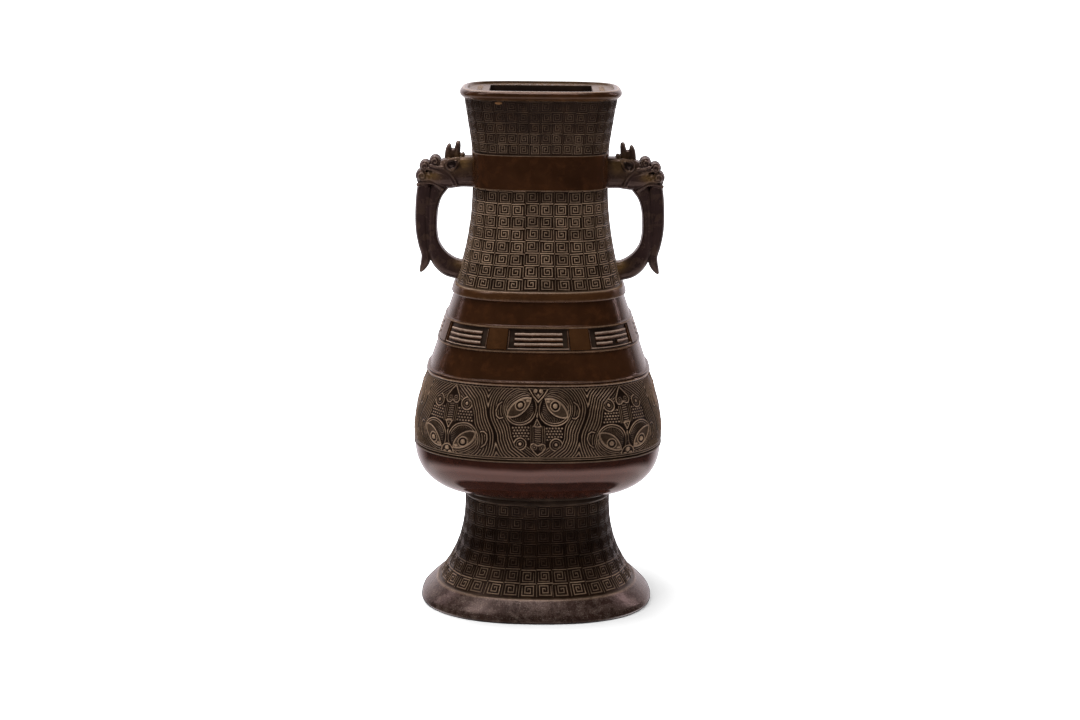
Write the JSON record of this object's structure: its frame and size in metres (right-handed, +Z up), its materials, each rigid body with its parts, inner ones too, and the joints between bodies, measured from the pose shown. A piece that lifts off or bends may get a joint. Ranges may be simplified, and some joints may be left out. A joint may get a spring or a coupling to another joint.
{
  "type": "vase",
  "caption": "Archaistic bronze vase of cushion section with a flared hollow foot, banded relief, a flat mouth with a rectangular opening, and beast-head loop handles.",
  "frame": {"origin": "on the ground, under the middle of the foot", "axes": "+Z up through the middle of the vessel, +X towards the right handle as seen from the front, and the front face looks along -Y"},
  "size_m": [0.1588, 0.1274, 0.33],
  "materials": {
    "vessel_bronze": "dark brown patinated cast bronze, warm and polished on the plain bands, black-brown in the recesses of the relief",
    "handle_bronze": "dark purplish brown patinated cast bronze, with olive and golden wear on the raised parts"
  },
  "bodies": {
    "root": {"vessel": "vessel_bronze", "right_handle": "handle_bronze", "left_handle": "handle_bronze"}
  },
  "joints": []
}
